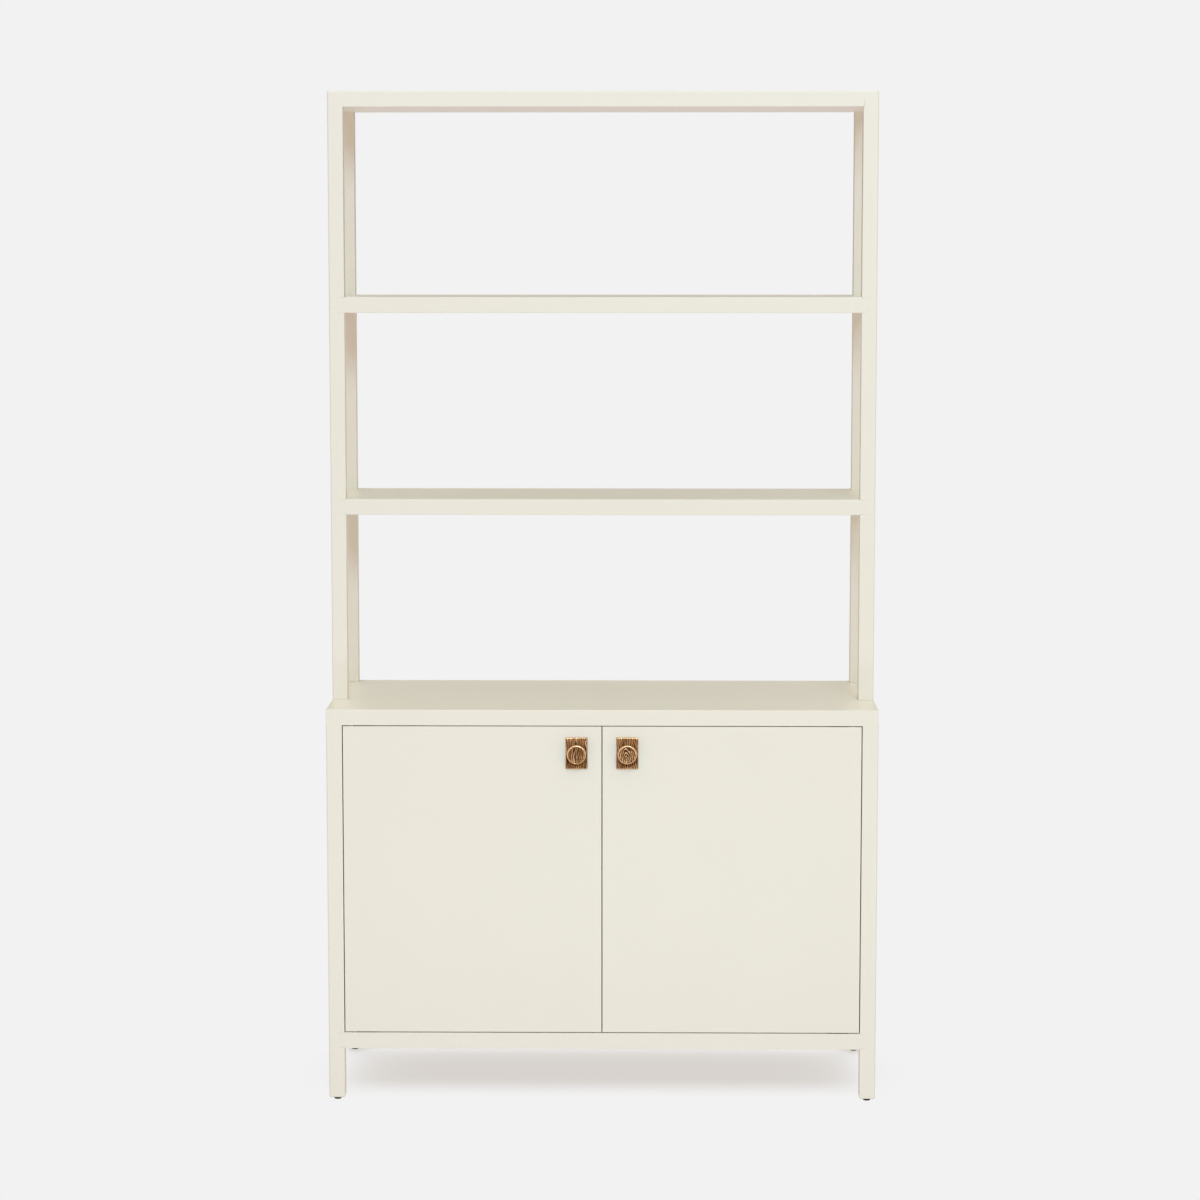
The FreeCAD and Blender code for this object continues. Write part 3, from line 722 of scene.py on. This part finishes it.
def make_glide(at, height):
    glide_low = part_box("glides")[0]
    leg_low, leg_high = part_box("leg_front_left")
    radius = (leg_low.x + leg_high.x) / 2 - glide_low.x
    bpy.ops.object.select_all(action="DESELECT")
    bpy.ops.mesh.primitive_cylinder_add(
        vertices=glide_sides, radius=radius, depth=height, location=at + Vector((0, 0, height / 2)))
    piece = settle(bpy.context.object, "glide")
    with editing(piece):
        pick(piece, "EDGE", lambda e: all(v.co.z < touching for v in e.verts))
        bpy.ops.mesh.bevel(offset=glide_round, segments=glide_round_steps, profile=0.5)
        pick(piece, "FACE", lambda f: f.normal.z < -nearly and f.calc_center_median().z < touching)
        bpy.ops.mesh.inset(thickness=radius - glide_round - glide_dish_radius)
        bpy.ops.mesh.inset(thickness=glide_dish_depth)
        bpy.ops.transform.translate(value=(0, 0, glide_dish_depth))
        pick(piece, "EDGE", lambda e: is_corner(e) and all(v.co.z > height - touching for v in e.verts))
        bpy.ops.mesh.bevel(offset=glide_edge, segments=glide_edge_steps, profile=0.5)
    smooth(piece)
    return piece


# Finishes

noise_middle = 0.5  # what a noise texture swings about
finer_patches = 7.0  # how much finer the second layer of the tone's drift is
finer_share = 0.4
value_swing = 4.0  # how much more the value drifts than the hue
hue_patches = 1.7
unchanged_hue = 0.5  # of the hue and saturation node
pebble_waves = 0.15  # how many of the waves under the pebbles there are to a pebble
pebble_wave_height = 2.0  # in heights of a pebble
# The colours along the rub value: the dark end also paints the shadow below a knob, the bright end the
# painted highlights
bronze_groove = (0.045, 0.018, 0.005)
bronze_body = (0.37, 0.175, 0.06)
bronze_ridge = (0.97, 0.66, 0.38)
bronze_groove_roughness = 0.5
bronze_ridge_roughness = 0.26


def group_of(name, inputs, outputs):
    """An empty node group with its sockets, and its input and output nodes."""
    group = bpy.data.node_groups.new(name, "ShaderNodeTree")
    for socket, (kind, value) in inputs.items():
        made = group.interface.new_socket(socket, in_out="INPUT", socket_type=kind)
        made.default_value = value
    for socket, kind in outputs.items():
        group.interface.new_socket(socket, in_out="OUTPUT", socket_type=kind)
    return group, group.nodes.new("NodeGroupInput"), group.nodes.new("NodeGroupOutput")


def put(tree, kind, **settings):
    node = tree.nodes.new(kind)
    for name, value in settings.items():
        setattr(node, name, value)
    return node


def wire(tree, source, target):
    tree.links.new(source, target)


def noise_at(tree, coordinates, scale, detail=2.0):
    """A noise texture. The scale is a socket."""
    made = put(tree, "ShaderNodeTexNoise")
    made.inputs["Detail"].default_value = detail
    wire(tree, coordinates, made.inputs["Vector"])
    wire(tree, scale, made.inputs["Scale"])
    return made.outputs["Fac"]


def math_node(tree, operation, first, second):
    """Adds, subtracts or multiplies two values, each a number or a socket."""
    node = put(tree, "ShaderNodeMath", operation=operation)
    for socket, value in zip(node.inputs, (first, second)):
        if isinstance(value, (int, float)):
            socket.default_value = value
        else:
            wire(tree, value, socket)
    return node.outputs[0]


def make_tone_drift():
    """The colour drifts a little over patches: lighter and darker, warmer and cooler."""
    group, given, out = group_of(
        "tone_drift",
        {"Color": ("NodeSocketColor", (0.8, 0.8, 0.8, 1)), "Drift": ("NodeSocketFloat", 0.02),
         "Patches per metre": ("NodeSocketFloat", 8.0)},
        {"Color": "NodeSocketColor"})
    place = put(group, "ShaderNodeTexCoord").outputs["Object"]
    patches, drift = given.outputs["Patches per metre"], given.outputs["Drift"]
    slow = noise_at(group, place, patches, detail=3.0)
    finer = noise_at(group, place, math_node(group, "MULTIPLY", patches, finer_patches))
    both = math_node(group, "ADD", slow, math_node(group, "MULTIPLY", finer, finer_share))
    centred = math_node(group, "SUBTRACT", both, (1 + finer_share) * noise_middle)
    amount = math_node(group, "MULTIPLY", centred, drift)
    shade = put(group, "ShaderNodeHueSaturation")
    wire(group, given.outputs["Color"], shade.inputs["Color"])
    value = math_node(group, "ADD", math_node(group, "MULTIPLY", amount, value_swing), 1.0)
    wire(group, value, shade.inputs["Value"])
    hue_noise = noise_at(group, place, math_node(group, "MULTIPLY", patches, hue_patches))
    hue = math_node(group, "MULTIPLY", math_node(group, "SUBTRACT", hue_noise, noise_middle), drift)
    wire(group, math_node(group, "ADD", hue, unchanged_hue), shade.inputs["Hue"])
    wire(group, shade.outputs["Color"], out.inputs["Color"])
    return group


def make_uneven_gloss():
    """The roughness varies a little over patches."""
    group, given, out = group_of(
        "uneven_gloss",
        {"Roughness": ("NodeSocketFloat", 0.4), "Spread": ("NodeSocketFloat", 0.1),
         "Patches per metre": ("NodeSocketFloat", 30.0)},
        {"Roughness": "NodeSocketFloat"})
    place = put(group, "ShaderNodeTexCoord").outputs["Object"]
    patches = noise_at(group, place, given.outputs["Patches per metre"], detail=4.0)
    centred = math_node(group, "SUBTRACT", patches, noise_middle)
    change = math_node(group, "MULTIPLY", centred, given.outputs["Spread"])
    wire(group, math_node(group, "ADD", given.outputs["Roughness"], change), out.inputs["Roughness"])
    return group


def make_fine_pebble():
    """A fine pebbled surface, such as sprayed lacquer or moulded plastic has, as a height."""
    group, given, out = group_of(
        "fine_pebble",
        {"Pebbles per metre": ("NodeSocketFloat", 700.0)},
        {"Height": "NodeSocketFloat"})
    place = put(group, "ShaderNodeTexCoord").outputs["Object"]
    scale = given.outputs["Pebbles per metre"]
    pebbles = noise_at(group, place, scale, detail=1.0)
    waves = noise_at(group, place, math_node(group, "MULTIPLY", scale, pebble_waves))
    height = math_node(group, "ADD", pebbles, math_node(group, "MULTIPLY", waves, pebble_wave_height))
    wire(group, height, out.inputs["Height"])
    return group


def placed(tree, group, **values):
    """A copy of a shared effect in a material. An underscore in a value's name stands for a space."""
    node = put(tree, "ShaderNodeGroup", node_tree=group)
    for name, value in values.items():
        node.inputs[name.replace("_", " ")].default_value = value
    return node


class Finishes:
    """The shared effects, and a function that builds a plain material from them."""

    def __init__(self):
        self.drift = make_tone_drift()
        self.gloss = make_uneven_gloss()
        self.pebble = make_fine_pebble()

    def make(self, name, color, roughness, metallic=0.0, drift=0.01, patches=8.0, gloss_spread=0.08,
             gloss_patches=30.0, pebbles=700.0, pebble_height=0.01 * MM):
        material = bpy.data.materials.new(name)
        material.use_nodes = True
        tree = material.node_tree
        shader = tree.nodes["Principled BSDF"]
        shader.inputs["Metallic"].default_value = metallic
        drift_node = placed(tree, self.drift, Color=(*color, 1), Drift=drift, Patches_per_metre=patches)
        wire(tree, drift_node.outputs["Color"], shader.inputs["Base Color"])
        gloss_node = placed(
            tree, self.gloss, Roughness=roughness, Spread=gloss_spread, Patches_per_metre=gloss_patches)
        wire(tree, gloss_node.outputs["Roughness"], shader.inputs["Roughness"])
        pebble_node = placed(tree, self.pebble, Pebbles_per_metre=pebbles)
        bump = put(tree, "ShaderNodeBump")
        bump.inputs["Distance"].default_value = pebble_height
        wire(tree, pebble_node.outputs["Height"], bump.inputs["Height"])
        wire(tree, bump.outputs["Normal"], shader.inputs["Normal"])
        return material


def make_bronze(finishes):
    """Antique bronze: dark in the grooves of the cast ripples, rubbed bright on ridges and rims, with the
    painted highlights and shadow that the rub value carries.
    """
    material = finishes.make(
        "antique_bronze", bronze_body, bronze_groove_roughness, metallic=0.8, drift=0.03, patches=60.0,
        gloss_spread=0.15, gloss_patches=300.0, pebbles=1500.0, pebble_height=0.04 * MM)
    tree = material.node_tree
    rub_and_light = put(tree, "ShaderNodeAttribute", attribute_name="rub_and_light")
    ramp = put(tree, "ShaderNodeValToRGB")
    ramp.color_ramp.elements[0].color = (*bronze_groove, 1)
    ramp.color_ramp.elements[1].color = (*bronze_ridge, 1)
    ramp.color_ramp.elements.new(0.5).color = (*bronze_body, 1)
    wire(tree, rub_and_light.outputs["Fac"], ramp.inputs["Fac"])
    wire(tree, ramp.outputs["Color"], group_node(tree, finishes.drift).inputs["Color"])
    sheen = put(tree, "ShaderNodeMapRange")
    sheen.inputs["To Min"].default_value = bronze_groove_roughness
    sheen.inputs["To Max"].default_value = bronze_ridge_roughness
    wire(tree, rub_and_light.outputs["Fac"], sheen.inputs["Value"])
    wire(tree, sheen.outputs["Result"], group_node(tree, finishes.gloss).inputs["Roughness"])
    return material


def group_node(tree, group):
    return next(node for node in tree.nodes if node.type == "GROUP" and node.node_tree == group)


def make_finishes():
    finishes = Finishes()
    return {
        "cream_lacquer": finishes.make(
            "cream_lacquer", (0.80, 0.775, 0.675), 0.42, drift=0.006, patches=5.0, gloss_spread=0.1,
            pebbles=650.0, pebble_height=0.012 * MM),
        "antique_bronze": make_bronze(finishes),
        "steel": finishes.make(
            "zinc_plated_steel", (0.62, 0.62, 0.60), 0.32, metallic=1.0, drift=0.02, patches=200.0,
            gloss_spread=0.2, gloss_patches=400.0, pebbles=2500.0),
        "black_glide": finishes.make(
            "black_glide", (0.006, 0.006, 0.007), 0.7, drift=0.02, patches=60.0, pebbles=2500.0),
        "dowel_wood": finishes.make(
            "bare_beech", (0.62, 0.42, 0.25), 0.65, drift=0.04, patches=120.0, pebbles=3000.0),
        "catch_plastic": finishes.make(
            "ivory_plastic", (0.78, 0.74, 0.62), 0.45, drift=0.01, patches=40.0, pebbles=2500.0),
        "magnet_grey": finishes.make(
            "bare_ferrite", (0.09, 0.09, 0.09), 0.55, metallic=0.6, drift=0.04, patches=150.0,
            pebbles=3500.0),
        "washer_brass": finishes.make(
            "plain_brass", (0.48, 0.34, 0.15), 0.4, metallic=1.0, drift=0.02, patches=150.0,
            pebbles=2500.0),
    }


def finish_solids(finishes):
    """Gives each node of the frame the finish of its slot."""
    for subpart in frame["record"]["subparts"]:
        node = frame["nodes"][subpart["node"]]
        if not node.material_slots:
            node.data.materials.append(None)
        for slot in node.material_slots:
            slot.material = finishes[subpart["material_slot"]]


# Studio

backdrop_grey = 0.888
dome_low = (0.10, 0.10, 0.11)
dome_above = (1.12, 1.01, 0.86)
dome_turns = (0.3, 0.7)  # 0 is level, 1 straight up: the low light turns into that above between these
floor_bounce = (0.74, 0.65, 0.64)
floor_size = 160.0
floor_shade = (0.680, 0.645, 0.610)
shade_height = 0.5  # what stands lower than this over the floor shades it
full_shade_from = 0.12  # the open share of the sky over the floor where its shade is full
no_shade_from = 0.68
shade_samples = 16
shade_begins = -0.20  # the light comes from the front, so the shade lies further back
shade_full_behind = -0.02

# name: place, target, width, depth, power of its red, green and blue
LAMPS = {
    "high_panel": ((0.9, -7.5, 5.5), (0.0, -0.2, 1.2), 5.0, 2.5, (252.0, 340.0, 408.0)),
    "right_panel": ((3.3, -3.5, 1.8), (0.0, -0.2, 1.2), 1.5, 2.5, (16.4, 10.5, 0.6)),
    "left_panel": ((-3.3, -3.5, 1.8), (0.0, -0.2, 1.2), 1.5, 2.5, (15.3, 4.0, 0.4)),
    "low_strip": ((0.0, -1.5, 0.1), (0.0, -0.2, 1.2), 3.0, 0.4, (3.3, 4.5, 4.7)),
    "back_panel": ((0.0, 7.0, 1.2), (0.0, 0.0, 1.2), 3.0, 2.0, (150.0, 180.0, 215.0)),
}


def mixed(tree, share, first, second):
    node = put(tree, "ShaderNodeMixShader")
    wire(tree, share, node.inputs["Fac"])
    wire(tree, first, node.inputs[1])
    wire(tree, second, node.inputs[2])
    return node.outputs[0]


def stepped(tree, value, start, end):
    """0 up to the start, 1 from the end on, and a soft step between them."""
    node = put(tree, "ShaderNodeMapRange", interpolation_type="SMOOTHSTEP")
    node.inputs["From Min"].default_value = start
    node.inputs["From Max"].default_value = end
    wire(tree, value, node.inputs["Value"])
    return node.outputs["Result"]


def glow(tree, color, kind="ShaderNodeEmission"):
    node = put(tree, kind)
    node.inputs["Color"].default_value = (*color, 1)
    return node.outputs[0]


def grey(level):
    return (level, level, level)


def make_world():
    """A pale even surround: plain grey to look at, a soft dome of light for the object."""
    world = bpy.data.worlds.new("studio")
    bpy.context.scene.world = world
    world.use_nodes = True
    tree = world.node_tree
    tree.nodes.clear()
    way = put(tree, "ShaderNodeSeparateXYZ")
    wire(tree, put(tree, "ShaderNodeTexCoord").outputs["Generated"], way.inputs[0])
    dome = mixed(
        tree, stepped(tree, way.outputs["Z"], *dome_turns), glow(tree, dome_low, "ShaderNodeBackground"),
        glow(tree, dome_above, "ShaderNodeBackground"))
    seen = put(tree, "ShaderNodeLightPath").outputs["Is Camera Ray"]
    surface = mixed(tree, seen, dome, glow(tree, grey(backdrop_grey), "ShaderNodeBackground"))
    wire(tree, surface, put(tree, "ShaderNodeOutputWorld").inputs["Surface"])


def make_floor():
    """A plain pale floor that runs into the surround, softly shaded where the object stands over it."""
    bpy.ops.object.select_all(action="DESELECT")
    bpy.ops.mesh.primitive_plane_add(size=floor_size)
    floor = settle(bpy.context.object, "studio_floor")
    material = bpy.data.materials.new("studio_floor")
    material.use_nodes = True
    material.cycles.emission_sampling = "NONE"
    tree = material.node_tree
    tree.nodes.clear()
    sky = put(tree, "ShaderNodeAmbientOcclusion", samples=shade_samples)
    sky.inputs["Distance"].default_value = shade_height
    clear = stepped(tree, sky.outputs["AO"], full_shade_from, no_shade_from)
    place = put(tree, "ShaderNodeSeparateXYZ")
    wire(tree, put(tree, "ShaderNodeTexCoord").outputs["Object"], place.inputs[0])
    away_from_light = stepped(tree, place.outputs["Y"], shade_begins, shade_full_behind)
    shaded = math_node(tree, "MULTIPLY", math_node(tree, "SUBTRACT", 1.0, clear), away_from_light)
    look = mixed(tree, shaded, glow(tree, grey(backdrop_grey)), glow(tree, floor_shade))
    seen = put(tree, "ShaderNodeLightPath").outputs["Is Camera Ray"]
    surface = mixed(tree, seen, glow(tree, floor_bounce), look)
    wire(tree, surface, put(tree, "ShaderNodeOutputMaterial").inputs["Surface"])
    floor.data.materials.append(material)


def make_lamp(name, place, target, width, depth, power):
    lamp = bpy.data.lights.new(name, "AREA")
    lamp.shape = "RECTANGLE"
    lamp.size, lamp.size_y = width, depth
    lamp.energy = max(power)
    lamp.color = [share / max(power) for share in power]
    made = bpy.data.objects.new(name, lamp)
    bpy.context.collection.objects.link(made)
    made.location = place
    made.visible_camera = False
    made.visible_glossy = name != "back_panel"  # that one would mirror in the undersides
    made.rotation_euler = (Vector(target) - Vector(place)).to_track_quat("-Z", "Y").to_euler()


def make_camera():
    data = bpy.data.cameras.new("camera")
    data.lens = camera_lens_mm
    data.shift_y = -camera_shift_down
    data.clip_end = floor_size
    made = bpy.data.objects.new("camera", data)
    bpy.context.collection.objects.link(made)
    made.location = camera_place
    made.rotation_euler = Euler((math.radians(90) + camera_pitch, 0, camera_turn))
    bpy.context.scene.camera = made


make_camera()
make_world()
make_floor()
for name, lamp in LAMPS.items():
    make_lamp(name, *lamp)
bpy.context.scene.view_settings.view_transform = "Standard"

finishes = make_finishes()
finish_solids(finishes)
make_members(CABINET, finishes["cream_lacquer"])
make_members(HUTCH, finishes["cream_lacquer"])
make_cabinet_shelf(finishes["cream_lacquer"])
for side in SIDES:
    make_door(side, finishes["cream_lacquer"])
make_knob("left", finishes["antique_bronze"], upright_ripple, tone=0.4, contrast=0.9, seed=3.0)
make_knob("right", finishes["antique_bronze"], arching_ripple, tone=0.36, contrast=1.2, seed=11.0)
make_backplate("left", finishes["antique_bronze"], seed=21.0)
make_backplate("right", finishes["antique_bronze"], seed=34.0)
make_glides(finishes["black_glide"])
make_screws(finishes["steel"])
